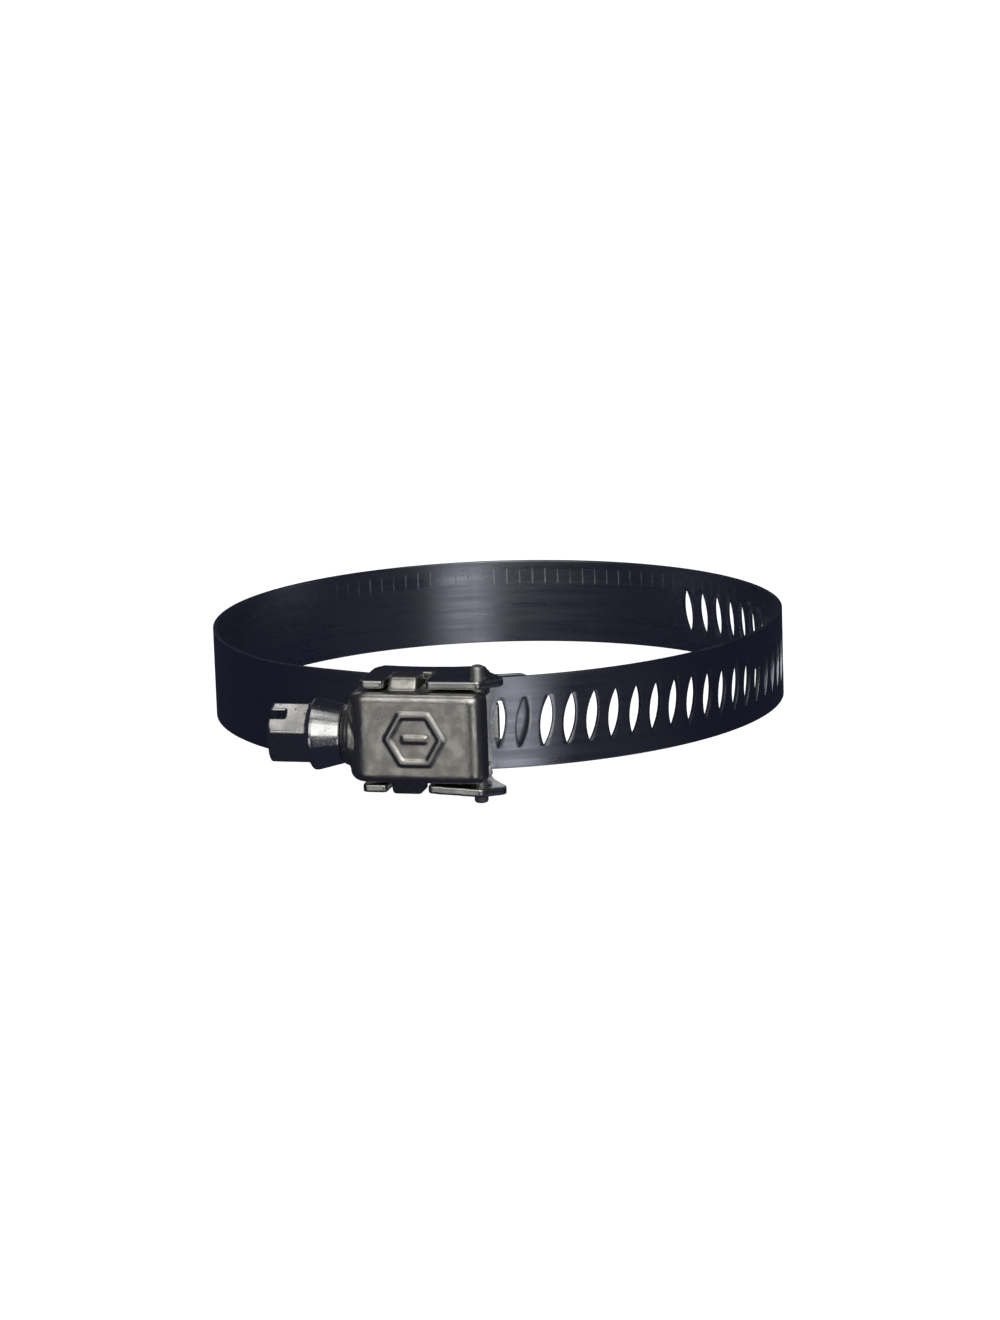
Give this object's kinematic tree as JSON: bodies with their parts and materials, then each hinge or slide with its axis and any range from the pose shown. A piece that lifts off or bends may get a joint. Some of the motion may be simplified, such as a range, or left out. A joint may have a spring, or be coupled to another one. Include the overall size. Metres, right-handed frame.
{
  "type": "hose clamp",
  "caption": "Worm-drive hose clamp: a slotted steel band closed by a screw in a housing that swings open on a pin.",
  "frame": {"origin": "middle of the band's loop, half way up the band's width", "axes": "+Z along the hose, up; -Y toward the housing; +X away from the screw's head"},
  "size_m": [0.0826, 0.0964, 0.019],
  "materials": {
    "band_steel": "bright rolled stainless strip",
    "bracket_steel": "pressed stainless sheet",
    "pin_steel": "plain steel pin",
    "shell_steel": "pressed stainless sheet, tumbled",
    "screw_steel": "zinc plated steel"
  },
  "bodies": {
    "band": {"band_loop": "band_steel", "bracket": "bracket_steel", "hinge_pin": "pin_steel"},
    "tail": {"band_tail": "band_steel"},
    "shell": {"shell": "shell_steel"},
    "screw": {"screw": "screw_steel"}
  },
  "joints": [
    {"name": "shell_swing", "type": "hinge", "parent": "band", "child": "shell", "pos_m": [0.00915, -0.0514, 0], "axis": [0, 0, 1], "range_deg": [0, 110]},
    {"name": "screw_spin", "type": "hinge", "parent": "shell", "child": "screw", "pos_m": [0, -0.0495, -0.0006], "axis": [1, 0, 0], "range_deg": [0, 1080]},
    {"name": "band_feed", "type": "hinge", "parent": "band", "child": "tail", "pos_m": [0, -0.0123, 0], "axis": [0, 0, -1], "range_deg": [0, 17.2]}
  ],
  "couplings": [
    {"joint": "band_feed", "follows": "screw_spin", "ratio": 0.015915}
  ]
}
